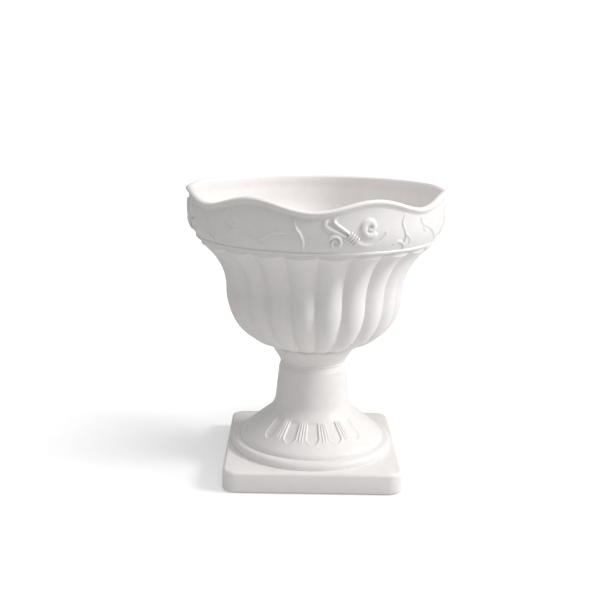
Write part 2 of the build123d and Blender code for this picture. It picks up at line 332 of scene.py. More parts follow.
def rim_wave(angles, shape):
    """How far the rim dips: (1 + cos(n a)) / 2 of the depth, which fades out round the sides."""
    turned = (angles + radians(shape.wave_turn) + np.pi) % (2 * np.pi) - np.pi
    fade = 1.0 - ramp(radians(wave_full_angle), radians(wave_end_angle), np.abs(turned))
    return shape.wave_depth * fade * (1 + np.cos(shape.wave_count * turned)) / 2


def band_profile(z):
    """Radius and outward normal of the band's outside at a height: an arc that turns upright."""
    rise = np.clip((z - band_turn_z) / band_curve, -1.0, 0.0)
    angle = np.arcsin(rise)
    return band_centre_radius + band_curve * np.cos(angle), np.cos(angle), np.sin(angle)


# The relief of the band repeats every quarter turn. Each stroke is a list of
# (degrees round, millimetres up from the band's foot) with its half width and
# its height as a share of the relief. Scrolls are spirals, drawn by a formula.
repeats = 4
band_strokes = (
    # vine that swings from the left end of the quarter to its middle
    ([(-41.5, 41), (-42.3, 34), (-39.7, 28), (-35, 24), (-31, 19),
      (-27.5, 14), (-23.5, 17), (-19.5, 22), (-16, 23.5), (-12, 21.5)], 1.5, 0.42),
    ([(-27.5, 14), (-25.6, 10.5), (-22.6, 9.5)], 1.2, 0.35),
    ([(-19.5, 22), (-18.2, 26.5), (-15.4, 29)], 1.2, 0.3),
    # upright twig
    ([(-9.8, 42), (-9.6, 31), (-7.8, 23.5), (-6.5, 15), (-6.8, 5.5)], 1.35, 0.75),
    # tied ribbon: two strands run down to the knot
    ([(7.4, 43), (5.6, 36), (10.6, 26), (13.6, 20)], 1.9, 1.0),
    ([(3.0, 41), (2.2, 32), (6.4, 25.5), (12.4, 19.5)], 3.0, 0.6),
    ([(13.4, 20), (16.6, 13.0), (21.4, 11.0), (25.4, 15.5), (28.2, 24.0)], 1.9, 0.62),
    # twig on the right, with sprouts at its foot
    ([(37.8, 42.5), (36.2, 33), (38.4, 21), (38.6, 12)], 1.25, 0.45),
    ([(33.0, 10.5), (35.2, 13.5), (38.6, 9.5), (39.8, 4)], 1.3, 0.55),
    ([(38.4, 21), (41.6, 15.5), (42.0, 10)], 1.1, 0.35),
)
# Spirals: middle (degrees, mm up), outer and inner radius in mm, start angle and
# turn in degrees from straight up, clockwise, then half width and height
band_scrolls = (
    ((20.6, 30.0), 9.4, 2.8, -215, 400, 4.3, 1.0),
    ((6.4, 14.4), 7.6, 2.4, -60, 470, 2.3, 0.9),
    ((-37.6, 27), 7.2, 2.6, -60, -330, 1.5, 0.3),
)
knot_middle = (13.5, 19.0)
knot_wraps = 4
wrap_pitch = 3.1
wrap_radius = 1.35
wrap_reach = 5.2
wrap_lift = 1.9


def polyline_distance(x, y, path):
    """Distance from each point to the nearest straight run of a path, and the share of the path done there."""
    path = np.asarray(path, float)
    start, step = path[:-1], np.diff(path, axis=0)
    length = np.linalg.norm(step, axis=1)
    before = np.concatenate([[0.0], np.cumsum(length)])
    best = np.full(x.shape, 1e9)
    along = np.zeros(x.shape)
    for (x0, y0), (dx, dy), size, done in zip(start, step, length, before):
        share = np.clip(((x - x0) * dx + (y - y0) * dy) / (size * size), 0, 1)
        distance = np.hypot(x - x0 - share * dx, y - y0 - share * dy)
        nearer = distance < best
        best = np.where(nearer, distance, best)
        along = np.where(nearer, (done + share * size) / before[-1], along)
    return best, along


def smooth_path(points, per_run=5):
    """A curve through the points, each run a cubic whose end slopes come from the neighbours."""
    p = np.asarray(points, float)
    padded = np.concatenate([[2 * p[0] - p[1]], p, [2 * p[-1] - p[-2]]])
    t = np.linspace(0, 1, per_run, endpoint=False)[:, None]
    runs = []
    for a, b, c, d in zip(padded[:-3], padded[1:-2], padded[2:-1], padded[3:]):
        square = 2 * a - 5 * b + 4 * c - d
        cube = 3 * b - a - 3 * c + d
        runs.append(0.5 * (2 * b + (c - a) * t + square * t ** 2 + cube * t ** 3))
    return np.concatenate(runs + [p[-1:]])


def band_relief(angles, z):
    """Height of the ornament, 0 to 1, on a grid of angles and heights: the largest of its round strokes."""
    per_degree = band_radius * np.pi / 180
    period = 360.0 / repeats
    degrees = np.degrees(angles)
    x = (((degrees + period / 2) % period) - period / 2) * per_degree
    y = z - band_foot_z
    height = np.zeros(np.broadcast(x, y).shape)
    x, y = np.broadcast_arrays(x, y)

    def stroke(path, half_width, share):
        distance, along = polyline_distance(x, y, path)
        taper = half_width * (0.45 + 0.55 * np.sin(np.pi * np.clip(0.08 + along, 0, 1)) ** 0.6)
        lift = share * np.sqrt(np.clip(1 - (distance / taper) ** 2, 0, 1)) ** 1.3
        np.maximum(height, lift, out=height)

    for points, half_width, share in band_strokes:
        path = smooth_path(points) * (per_degree, 1)
        stroke(path, half_width, share)
    for (middle_x, middle_y), outer, inner, start, sweep, half_width, share in band_scrolls:
        t = np.linspace(0, 1, 48)
        turn = np.radians(start + sweep * t)
        size = outer + (inner - outer) * t ** 0.8
        path = np.stack([middle_x * per_degree + size * np.sin(turn), middle_y + size * np.cos(turn)], axis=1)
        stroke(path, half_width, share)
    return height


def add_knot_wraps(skin):
    """The cord round each knot: short bent tubes side by side. A tube's middle line crosses the ribbon and
    rises over it as the root of 1 - s^2, and its section is a circle that shrinks to its two ends."""
    lean = radians(38)
    share = np.linspace(1, -1, 15)[:, None]
    swell = np.sqrt(1 - share ** 2)
    around = turn_angles(12)[None, :]
    for quarter in range(repeats):
        for wrap in range(knot_wraps):
            step = (wrap - (knot_wraps - 1) / 2) * wrap_pitch
            tube = wrap_radius * (0.25 + 0.75 * swell) * (swell > 0)
            side = step + tube * np.cos(around)
            reach = wrap_reach * share
            lift = wrap_lift * swell + tube * np.sin(around)
            x = side * np.cos(lean) + reach * np.sin(lean)
            y = reach * np.cos(lean) - side * np.sin(lean)
            z = band_foot_z + knot_middle[1] + y
            radius, out, up = band_profile(z)
            angle = radians(knot_middle[0] + 360 * quarter / repeats) + x / band_radius
            skin.grid(ring_points(angle, radius + lift * out, z + lift * up))


def rib_height(share, run, length):
    """Section of a rib, 0 in the valley and 1 on its back, on a grid of places across and along it.
    share is -1 to 1 from valley to valley. The rib is an oval across, and its ends are round: at the
    collar over its own half width, and under the bead over a short corner."""
    foot, head = 13.0, 7.0
    closing = np.sqrt(np.clip(1 - ((foot - run) / foot) ** 2, 0, 1)) * (run < foot) + (run >= foot)
    shoulder = 0.72 + 0.28 * np.sqrt(np.clip(1 - ((head - (length - run)) / head) ** 2, 0, 1))
    width = np.clip(0.97 * closing * np.where(length - run < head, shoulder, 1.0), 1e-3, None)
    return np.clip(1 - (share / width) ** 2, 0, 1) ** 0.92 * np.sqrt(closing)


def body_skin(angles, shape):
    """The ribbed body from collar to bead: two tangent arcs, sunk by the depth wherever no rib stands."""
    lower = arc((lower_centre_radius, belly_z), lower_curve, lower_start, 0, 26)
    upper = arc((upper_centre_radius, belly_z), upper_curve, np.pi, upper_end, 23)
    profile = np.concatenate([lower[:-1], upper, line(upper[-1], (ledge_foot_radius, ledge_foot_z), 5)[1:]])
    normal = slopes(profile)
    step = np.linalg.norm(np.diff(profile, axis=0), axis=1)
    run = np.concatenate([[0.0], np.cumsum(step)])[:, None]
    share = (angles * shape.flute_count / np.pi) % 2.0 - 1.0
    height = rib_height(share[None, :], run, run[-1])
    depth = shape.flute_depth * np.minimum(profile[:, :1] / belly_radius, 1.0)
    depth = depth * (0.35 + 0.65 * ramp(0, 14, run)) * (0.6 + 0.4 * ramp(0, 12, run[-1] - run))
    sink = depth * (1 - height)
    radius = profile[:, :1] - sink * normal[:, :1]
    z = profile[:, 1:] - sink * normal[:, 1:]
    return ring_points(angles[None, :], radius, z)


def lip_line(angles, shape):
    """Height of the rolled rim's middle."""
    return crest_z - lip_half_height - rim_wave(angles, shape)


def band_skin(angles, shape):
    """The band: its heights run from its foot to the wavy lip, and the ornament lifts it outwards."""
    top = lip_line(angles, shape) - lip_half_height - lip_underside_gap
    share = np.linspace(0, 1, 46)[:, None]
    z = ledge_top_z + (top[None, :] - ledge_top_z) * share
    radius, out, up = band_profile(z)
    calm = ramp(0, 2.0, z - ledge_top_z) * ramp(0, 3.0, top[None, :] - z)
    lift = shape.relief_height * band_relief(angles[None, :], z) * calm
    return ring_points(angles[None, :], radius + lift * out, z + lift * up)


def lip_skin(angles, shape):
    """The rolled rim: an oval carried round the wavy line, from the band's outside over to the inner step."""
    turn = np.linspace(radians(-62), np.pi, 17)[:, None]
    radius = lip_ring_radius + lip_half_width * np.cos(turn)
    z = lip_line(angles, shape)[None, :] + lip_half_height * np.sin(turn)
    over = ring_points(angles[None, :], radius, z)
    inner = lip_ring_radius - lip_half_width
    step = np.array([
        (inner, -2.4), (inner, -4.4), (inner + 0.1, -5.4), (inner + 0.3, -6.6), (inner + 0.4, -7.8)])
    drop = lip_line(angles, shape)[None, :] + step[:, 1:]
    return np.concatenate([over, ring_points(angles[None, :], step[:, :1], drop)])


def inner_skin(angles, top):
    """Rows inside the bowl, from under the lip down to the floor: the outside's curves, a wall's thickness in."""
    inside = band_radius - band_wall
    lower = arc((lower_centre_radius, belly_z), lower_curve - body_wall, lower_start, 0, 12)
    upper = arc((upper_centre_radius, belly_z), upper_curve + body_wall, np.pi, upper_end, 10)
    band = arc((band_centre_radius, band_turn_z), band_curve - band_wall, band_start, 0, 9)
    profile = np.concatenate([
        line((well_radius, floor_z), (well_radius, seat_z - 3), 4),
        rounded_corner((well_radius, floor_z), (well_radius, seat_z), lower[0], 6, 4)[1:],
        lower, upper[1:], band,
    ])[::-1]
    share = np.linspace(0, 1, 4)[:, None]
    first = ring_points(angles[None, :], inside, top[None, :] * (1 - share) + band_turn_z * share)
    return np.concatenate([first[:-1], rows_of(profile, angles)])


def pierced_plate(skin, outer, inner, hole_radius, holes, centre_circle, z, turn, faces_up):
    """A flat ring with round holes in it. Each hole has a sector, whose outline is joined straight to the
    hole by points in the same direction from the hole's middle. Returns the holes' rings."""
    share = len(outer) // holes
    rings = []
    for index in range(holes):
        out = outer[(np.arange(share + 1) + index * share + turn) % len(outer)]
        thin = len(inner) // holes
        back = inner[(np.arange(thin + 1) + index * thin + turn * len(inner) // len(outer)) % len(inner)][::-1]
        side_a = line(out[-1], back[0], 9)[1:-1]
        side_b = line(back[-1], out[0], 9)[1:-1]
        edge = np.concatenate([out, side_a, back, side_b])
        middle_angle = 2 * np.pi * (turn / len(outer) + (index + 0.5) / holes)
        middle = ring_points(middle_angle, centre_circle, z)
        away = edge - middle
        bearing = np.maximum.accumulate(np.unwrap(np.arctan2(away[:, 0], -away[:, 1])))
        hole = middle + ring_points(bearing, hole_radius, 0.0)
        rows = np.stack([edge, hole] if faces_up else [hole, edge])
        skin.grid(rows)
        rings.append(hole)
    return rings


def keyed_ring(count, radius, height, width, z):
    """A ring that steps out by a height, between parallel walls, where its two sides meet the X axis."""
    angles = turn_angles(count)
    radii = np.full(count, float(radius))
    spacing = angles[1]
    foot = np.arcsin(width / 2 / radius)
    for side in (np.pi / 2, 3 * np.pi / 2):
        off = angles - side
        on = np.abs(off) < foot
        rim = on & (np.abs(off) >= foot - spacing)
        beside = ~on & (np.abs(off) < foot + spacing)
        radii[on] = radius + height
        angles[rim] = side + np.sign(off[rim]) * np.arcsin(width / 2 / (radius + height))
        angles[beside] = side + np.sign(off[beside]) * foot
    return ring_points(angles, radii, z)


def build_bowl_mesh(shape):
    """The whole bowl, as one closed skin from its underside over the lip to its floor."""
    skin = Skin()
    columns = 21 * shape.flute_count
    half = turn_angles(columns // 2)
    full = turn_angles(columns)
    fine = turn_angles(2 * columns)
    side = np.stack([keyed_ring(columns // 2, spigot_radius, key_height, key_width, z)
                     for z in (spigot_bottom_z, seat_z)])
    skin.grid(side)
    seat = np.stack([side[-1], ring_points(half, collar_foot_radius, seat_z)])
    skin.grid(seat)
    collar = np.concatenate([
        line((collar_foot_radius, seat_z), (collar_foot_radius, seat_z + 0.6), 2),
        arc((collar_foot_radius - 1.2, collar_ring_z - 0.9), 1.5, -0.6, 0.75, 5),
        line((collar_foot_radius + 0.4, collar_ring_z + 0.7), (collar_top_radius - 2.2, collar_top_z - 4.2), 6),
        arc((collar_top_radius - 3.6, collar_top_z - 2.0), 2.3, -0.6, 0.9, 5),
    ])
    skin.grid(rows_of(collar, half))
    body = body_skin(full, shape)
    skin.join(rows_of(collar[-1:], half)[0], body[0], True)
    skin.grid(body)
    ledge_middle = (ledge_foot_radius + 1.9, ledge_foot_z + 2.0)
    bead = rows_of(arc(ledge_middle, ledge_round, radians(-105), radians(50), 8), full)
    skin.grid(np.concatenate([body[-1:], bead]))
    band = band_skin(fine, shape)
    skin.join(bead[-1], band[1], True)
    skin.grid(band[1:])
    lip = lip_skin(full, shape)
    skin.join(lip[0], band[-1], False)
    skin.grid(lip)
    inside_top = lip_line(half, shape) - inner_wall_drop
    inside = inner_skin(half, inside_top)
    skin.join(inside[0], lip[-1], False)
    skin.grid(inside)
    bore = turn_angles(120)
    under_hole = ring_points(bore, bolt_hole_radius, spigot_bottom_z)
    floor_hole = ring_points(bore, bolt_hole_radius, floor_z)
    below = pierced_plate(skin, side[0], under_hole, drain_hole_radius, drain_count, drain_circle_radius,
                          spigot_bottom_z, 0, False)
    above = pierced_plate(skin, inside[-1], floor_hole, drain_hole_radius, drain_count, drain_circle_radius,
                          floor_z, 0, True)
    skin.grid(np.stack([floor_hole, under_hole]))
    for low, high in zip(below, above):
        skin.grid(np.stack([high, low]))
    add_knot_wraps(skin)
    return skin.mesh("bowl_moulding", soft_angle)


def square_ring(angles, half, corner, z):
    """A square with round corners: straight sides at half from the axis, and arcs of the corner radius."""
    across = np.abs(np.sin(angles))
    along = np.abs(np.cos(angles))
    far = np.maximum(across, along)
    reach = (half - corner) * (across + along)
    bend = reach + np.sqrt(np.clip(reach ** 2 - 2 * (half - corner) ** 2 + corner ** 2, 0, None))
    straight = half / far
    on_side = straight * np.minimum(across, along) <= half - corner
    return ring_points(angles, np.where(on_side, straight, bend), z)


def plinth_skin(angles):
    """The plinth's outside, from its bottom edge up to the edge of its top: a square whose edges are quarter
    rounds. The angles crowd towards the corners by a - k sin(4a) so that the corners are smooth."""
    crowded = angles + 0.15 * np.sin(4 * angles)
    bottom = np.linspace(0, np.pi / 2, 4)
    top = np.linspace(0, np.pi / 2, 7)
    inset = np.concatenate([plinth_bottom_round * (1 - np.sin(bottom)), plinth_round * (1 - np.cos(top))])
    z = np.concatenate([
        plinth_bottom_z + plinth_bottom_round * (1 - np.cos(bottom)),
        plinth_top_z - plinth_round * (1 - np.sin(top)),
    ])
    return np.stack([square_ring(crowded, half_side - i, plinth_corner - i, h) for i, h in zip(inset, z)])


# The foot's leaves: pitch and half width in degrees, heights in millimetres
leaf_pitch = 22.5
leaf_bottom_z = 47.5
leaf_top_z = 67.5
leaf_half_width = 6.9


def leaf_relief(angles, z):
    """Height of the foot's leaves, -1 to 1: a pointed panel with a raised edge at every pitch, sunk between
    pairs of thin upright ridges. It fades out round the sides."""
    degrees = (np.degrees(angles) + 180) % 360 - 180
    offset = (degrees + leaf_pitch / 2) % leaf_pitch - leaf_pitch / 2
    share = (z - leaf_bottom_z) / (leaf_top_z - leaf_bottom_z)
    half = leaf_half_width * np.clip(share / 0.22, 0, 1) ** 0.6 * (0.86 + 0.14 * share)
    per_degree = (90 - 0.55 * z) * np.pi / 180
    inwards = (half - np.abs(offset)) * per_degree
    top_fade = 1 - ramp(0.86, 1.0, share)
    sunk = -0.8 * ramp(0.0, 0.9, inwards) * ramp(0.0, 0.08, share) * top_fade
    edge = 0.35 * np.exp(-((inwards + 0.5) / 0.8) ** 2) * ramp(-0.03, 0.03, share) * top_fade
    beside = (np.abs(np.abs(offset) - leaf_pitch / 2) - 1.25) * per_degree
    ridge = 0.7 * np.exp(-(beside / 0.62) ** 2) * ramp(0.04, 0.2, share) * (1 - ramp(0.84, 1.0, share))
    fade = 1 - ramp(44, 58, np.abs(degrees))
    return fade * np.clip(edge + sunk + ridge, -1, 1)


def foot_profile():
    """Outline of the rings, the sloping foot and the stem, from the plinth's top to the stem's mouth."""
    corners = [
        (upper_ring_radius, plinth_top_z),
        (upper_ring_radius, upper_ring_z),
        (stem_foot_radius, stem_foot_z),
        (stem_top_radius, stem_top_z),
        (stem_mouth_radius, seat_z),
    ]
    middle = (lower_ring_radius - lower_ring_round, lower_ring_z - lower_ring_round)
    ring = arc(middle, lower_ring_round, 0, np.pi / 2, 7)
    step = rounded_corner(*corners[0:3], step_round, 10)
    step = step[step[:, 1] > lower_ring_z + 0.15]
    waist = rounded_corner(*corners[1:4], waist_round, 18)
    neck = rounded_corner(*corners[2:5], neck_round, 5)
    return np.concatenate([
        line((lower_ring_radius, plinth_top_z), (lower_ring_radius, lower_ring_z - 6.4), 3),
        ring,
        line((lower_ring_radius - 7, lower_ring_z), (upper_ring_radius + 0.01, lower_ring_z), 2),
        step,
        line(step[-1], waist[0], 46)[1:-1],
        waist,
        line(waist[-1], neck[0], 12)[1:-1],
        neck,
        line(neck[-1], (stem_mouth_radius, seat_z), 3)[1:],
    ])


def foot_skin(angles, shape):
    """The foot's outside: the outline turned round the axis, with the leaves lifted along its normals."""
    profile = foot_profile()
    normal = slopes(profile)
    z = profile[:, 1:]
    on_cone = ramp(leaf_bottom_z - 3, leaf_bottom_z, z) * (profile[:, :1] < upper_ring_radius - 3)
    lift = shape.leaf_height * leaf_relief(angles[None, :], z) * on_cone
    return ring_points(angles[None, :], profile[:, :1] + lift * normal[:, :1], z + lift * normal[:, 1:])


def inside_profile():
    """Outline of the space under the deck, from the stem down to the plinth's roof."""
    slope = (upper_ring_z - stem_foot_z) / (stem_foot_radius - upper_ring_radius)
    drop = wall * (np.sqrt(1 + slope ** 2) - slope)
    corners = [
        (stem_top_radius - wall, deck_bottom_z),
        (stem_foot_radius - wall, stem_foot_z - drop),
        (upper_ring_radius - wall, upper_ring_z - drop),
        (upper_ring_radius - wall, lower_ring_z - wall),
    ]
    waist = rounded_corner(*corners[0:3], waist_round + wall, 8)
    step = rounded_corner(*corners[1:4], step_round - wall, 4)
    return np.concatenate([
        np.array(corners[:1]), waist, line(waist[-1], step[0], 6)[1:-1], step,
        np.array([
            corners[3],
            (lower_ring_radius - wall, lower_ring_z - wall),
            (lower_ring_radius - wall, plinth_top_z - wall),
        ]),
    ])


def hexagon_ring(angles, half_width, z):
    """A six-sided outline with corners on the X axis: half width over the cosine of the turn from each flat."""
    turn = (angles + np.pi / 6) % (np.pi / 3) - np.pi / 6
    return ring_points(angles, half_width / np.cos(turn), z)


def add_post(skin, x, y):
    """A closed post with the pad's recess in its foot, and the web that ties it to the plinth's corner."""
    top = plinth_top_z - wall / 2
    ceiling = plinth_bottom_z + pad_recess
    outside = pad_hole_radius - pad_clearance + pad_boss_wall
    outline = [(0, ceiling), (pad_hole_radius, ceiling), (pad_hole_radius, plinth_bottom_z),
               (outside, plinth_bottom_z), (outside, top), (0, top)]
    skin.grid(rows_of(outline, turn_angles(48)) + np.array([x, y, 0]))
    along = np.array([np.sign(x), np.sign(y), 0]) / np.sqrt(2)
    across = np.array([-along[1], along[0], 0]) * web_half_thickness
    near = np.array([x, y, 0]) + along * web_start
    far = near + along * web_length
    low = np.stack([near - across, far - across, far + across, near + across])
    box = np.concatenate([low + (0, 0, plinth_bottom_z + plinth_bottom_round), low + (0, 0, top)])
    sides = [(0, 1, 5, 4), (1, 2, 6, 5), (2, 3, 7, 6), (3, 0, 4, 7)]
    skin.add(box, np.array([(3, 2, 1, 0), (4, 5, 6, 7), *sides]))


def build_pedestal_mesh(shape):
    """The whole pedestal, as one closed skin: up the outside, down the socket, through the deck and down the
    inside, with the posts as closed shells of their own."""
    skin = Skin()
    full = turn_angles(480)
    half = turn_angles(240)
    bore = turn_angles(120)
    plinth = plinth_skin(full)
    foot = foot_skin(full, shape)
    skin.grid(np.concatenate([plinth, foot]))
    slot_height = key_height + socket_radius - spigot_radius
    slot_width = key_width + 2 * key_clearance
    mouth, deck = (keyed_ring(240, socket_radius, slot_height, slot_width, z) for z in (seat_z, deck_top_z))
    skin.join(mouth, foot[-1], False)
    skin.grid(np.stack([mouth, deck]))
    pocket_z = nut_bottom_z + nut_thickness
    hole_top = ring_points(bore, bolt_hole_radius, deck_top_z)
    hole_bottom = ring_points(bore, bolt_hole_radius, pocket_z)
    pocket_top, pocket_bottom = (
        hexagon_ring(bore, nut_half_width + nut_clearance, z) for z in (pocket_z, boss_bottom_z))
    boss = rows_of([(boss_radius, boss_bottom_z), (boss_radius, deck_bottom_z)], bore)
    skin.grid(np.stack([hole_top, hole_bottom, pocket_top, pocket_bottom, boss[0], boss[1]]))
    inside = rows_of(inside_profile(), half)
    start = len(half) // 6
    above = pierced_plate(skin, deck, hole_top, deck_hole_radius, drain_count, drain_circle_radius,
                          deck_top_z, start, True)
    below = pierced_plate(skin, inside[0], boss[1], deck_hole_radius, drain_count, drain_circle_radius,
                          deck_bottom_z, start, False)
    for high, low in zip(above, below):
        skin.grid(np.stack([high, low]))
    crowded = half + 0.15 * np.sin(4 * half)
    walls = [square_ring(crowded, half_side - wall, plinth_corner - wall, z)
             for z in (plinth_top_z - wall, plinth_bottom_z)]
    skin.grid(np.concatenate([inside, np.stack(walls)]))
    skin.join(walls[-1], plinth[0], True)
    for x, y in ((-1, -1), (1, -1), (1, 1), (-1, 1)):
        add_post(skin, x * pad_reach, y * pad_reach)
    return skin.mesh("pedestal_moulding", soft_angle)


# Sizes of the hand bolt
bolt_radius = 5.0
thread_root = 4.25
thread_pitch = 3.0
thread_end_z = floor_z - 2.0
knob_radius = 12.5
knob_height = 10.0
scallop_radius = 4.0
scallop_depth = 2.2
scallop_count = 6


def thread_skin(angles):
    """The shank: its radius swings between root and crest with the phase z / pitch - a / 360, and the thread
    runs out smoothly at both ends."""
    z = np.arange(bolt_bottom_z, thread_end_z, 0.25)[:, None]
    phase = (z / thread_pitch - angles[None, :] / (2 * np.pi)) % 1.0
    groove = ramp(0.12, 0.42, phase) * (1 - ramp(0.58, 0.88, phase))
    tip = 1 - ramp(0, 2.2, z - bolt_bottom_z)
    depth = (bolt_radius - thread_root) * (1 - ramp(-5.0, -1.0, z - thread_end_z))
    radius = bolt_radius - np.maximum(depth * groove, 1.2 * tip)
    return ring_points(angles[None, :], radius, z)


def knob_outline(angles):
    """Outline of the knob: a disc cut by round scallops, each the near side of a circle beyond the rim."""
    reach = knob_radius + scallop_radius - scallop_depth
    turn = angles % (2 * np.pi / scallop_count) - np.pi / scallop_count
    bite = scallop_radius ** 2 - (reach * np.sin(turn)) ** 2
    cut = reach * np.cos(turn) - np.sqrt(np.clip(bite, 0, None))
    return np.where(bite > 0, np.minimum(cut, knob_radius), knob_radius)


def build_bolt_mesh():
    """The hand bolt as one closed skin: its tip, the thread, the plain neck and the knob."""
    skin = Skin()
    angles = turn_angles(180)
    outline = knob_outline(angles)
    bottom = washer_top_z
    top = washer_top_z + knob_height
    shank = thread_skin(angles)
    tip = ring_points(angles, 0.0, bolt_bottom_z)[None]
    neck = rows_of([(bolt_radius, thread_end_z), (bolt_radius, bottom)], angles)
    edge = np.linspace(0, np.pi / 2, 6)
    inset = np.concatenate([[0.5, 0.0], 1.4 * (1 - np.cos(edge))])
    height = np.concatenate([[bottom, bottom + 0.5], top - 1.4 * (1 - np.sin(edge))])
    sides = ring_points(angles[None, :], outline[None, :] - inset[:, None], height[:, None])
    dish = np.array([
        (8.2, 0.0), (7.6, -0.35), (7.0, -0.9), (4.0, -1.2), (2.6, -1.2), (2.2, -0.9), (1.2, -0.8), (0, -0.8)])
    cap = rows_of(dish + (0, top), angles)
    skin.grid(np.concatenate([tip, shank, neck, sides, cap]))
    return skin.mesh("hand_bolt", 35)


def node_group(name, inputs, outputs):
    """An empty shader group with named sockets. Each input has a name, a socket type and a default."""
    group = bpy.data.node_groups.new(name, "ShaderNodeTree")
    for label, kind, default in inputs:
        socket = group.interface.new_socket(label, in_out="INPUT", socket_type=kind)
        socket.default_value = default
    for label, kind in outputs:
        group.interface.new_socket(label, in_out="OUTPUT", socket_type=kind)
    return group, group.nodes.new("NodeGroupInput"), group.nodes.new("NodeGroupOutput")


def feed(tree, socket, value):
    """Gives a socket a constant, or joins it to another node's output."""
    if isinstance(value, bpy.types.NodeSocket):
        tree.links.new(value, socket)
    else:
        socket.default_value = value


def calculate(tree, operation, first, second):
    """The sum or product of two values."""
    node = tree.nodes.new("ShaderNodeMath")
    node.operation = operation
    feed(tree, node.inputs[0], first)
    feed(tree, node.inputs[1], second)
    return node.outputs[0]


def texture_noise(tree, scale, detail, roughness=0.5):
    """A noise that reads the piece's own coordinates, which are metres from the frame's origin."""
    where = tree.nodes.new("ShaderNodeTexCoord")
    noise = tree.nodes.new("ShaderNodeTexNoise")
    feed(tree, noise.inputs["Scale"], scale)
    noise.inputs["Detail"].default_value = detail
    noise.inputs["Roughness"].default_value = roughness
    tree.links.new(where.outputs["Object"], noise.inputs["Vector"])
    return noise.outputs["Fac"]


def map_range(tree, value, low, high, to_low, to_high):
    """A value moved from one range to another, and kept inside it."""
    node = tree.nodes.new("ShaderNodeMapRange")
    for label, number in (("From Min", low), ("From Max", high), ("To Min", to_low), ("To Max", to_high)):
        node.inputs[label].default_value = number
    tree.links.new(value, node.inputs["Value"])
    return node.outputs["Result"]


def mixed_colour(tree, mask, first, second):
    """Two colours mixed by a mask. Each is a colour value or another node's output."""
    mix = tree.nodes.new("ShaderNodeMix")
    mix.data_type = "RGBA"
    tree.links.new(mask, mix.inputs["Factor"])
    for socket, colour in ((mix.inputs[6], first), (mix.inputs[7], second)):
        feed(tree, socket, colour if isinstance(colour, bpy.types.NodeSocket) else (*colour, 1))
    return mix.outputs[2]


def make_grain_group():
    """Fine moulded or cut grain: a bump from two noises, and the coarser one as a mask."""
    inputs = (("Scale", "NodeSocketFloat", 400.0), ("Depth", "NodeSocketFloat", 0.1),
              ("Distance", "NodeSocketFloat", 0.0002))
    outputs = (("Normal", "NodeSocketVector"), ("Mask", "NodeSocketFloat"))
    group, given, result = node_group("Surface grain", inputs, outputs)
    scale = given.outputs["Scale"]
    fine = texture_noise(group, scale, 3.0, 0.6)
    coarse = texture_noise(group, calculate(group, "MULTIPLY", scale, 0.12), 2.0)
    bump = group.nodes.new("ShaderNodeBump")
    group.links.new(given.outputs["Depth"], bump.inputs["Strength"])
    group.links.new(given.outputs["Distance"], bump.inputs["Distance"])
    group.links.new(calculate(group, "ADD", fine, coarse), bump.inputs["Height"])
    group.links.new(bump.outputs["Normal"], result.inputs["Normal"])
    group.links.new(coarse, result.inputs["Mask"])
    return group


def make_dust_group():
    """Dust that settles on faces that look up, broken up by a noise, as a mask from 0 to 1."""
    inputs = (("Scale", "NodeSocketFloat", 30.0), ("Amount", "NodeSocketFloat", 0.3))
    group, given, result = node_group("Settled dust", inputs, (("Mask", "NodeSocketFloat"),))
    noise = texture_noise(group, given.outputs["Scale"], 5.0, 0.65)
    patches = map_range(group, noise, 0.42, 0.68, 0.0, 1.0)
    shape = group.nodes.new("ShaderNodeNewGeometry")
    parts = group.nodes.new("ShaderNodeSeparateXYZ")
    group.links.new(shape.outputs["Normal"], parts.inputs["Vector"])
    upward = map_range(group, parts.outputs["Z"], 0.35, 0.95, 0.15, 1.0)
    settled = calculate(group, "MULTIPLY", patches, upward)
    share = calculate(group, "MULTIPLY", settled, given.outputs["Amount"])
    group.links.new(share, result.inputs["Mask"])
    return group


def start_material(name, roughness, specular=0.5, metallic=0.0):
    """A new material with a Principled shader whose even values are set on its own sockets."""
    material = bpy.data.materials.new(name)
    material.use_nodes = True
    tree = material.node_tree
    shader = tree.nodes["Principled BSDF"]
    shader.inputs["Roughness"].default_value = roughness
    shader.inputs["Specular IOR Level"].default_value = specular
    shader.inputs["Metallic"].default_value = metallic
    return material, tree, shader


def place_group(tree, name, maker, values):
    """Places the group of that name, made on its first use, and gives it its values."""
    node = tree.nodes.new("ShaderNodeGroup")
    node.node_tree = bpy.data.node_groups.get(name) or maker()
    for label, value in values.items():
        node.inputs[label].default_value = value
    return node


def use_grain(tree, shader, scale, depth, distance):
    """Places the grain group, joins its normal to the shader and returns its mask."""
    values = {"Scale": scale, "Depth": depth, "Distance": distance}
    node = place_group(tree, "Surface grain", make_grain_group, values)
    tree.links.new(node.outputs["Normal"], shader.inputs["Normal"])
    return node.outputs["Mask"]


def use_dust(tree, scale, amount):
    """Places the dust group and returns its mask."""
    values = {"Scale": scale, "Amount": amount}
    return place_group(tree, "Settled dust", make_dust_group, values).outputs["Mask"]


def moulded_plastic(name, finish, grain_scale):
    """Satin white plastic: a soft mottle in the colour, a trace of dust and a fine moulded grain."""
    material, tree, shader = start_material(name, 0.42, 0.45)
    mask = use_grain(tree, shader, grain_scale, 0.22, 0.00012)
    mottle = map_range(tree, mask, 0.35, 0.65, 0.0, 0.28)
    colour = mixed_colour(tree, mottle, finish.plastic, finish.shade)
    dust = use_dust(tree, 26.0, 0.10)
    dusted = mixed_colour(tree, dust, colour, (0.60, 0.57, 0.53))
    tree.links.new(dusted, shader.inputs["Base Color"])
    tree.links.new(map_range(tree, mask, 0.3, 0.7, 0.36, 0.48), shader.inputs["Roughness"])
    return material


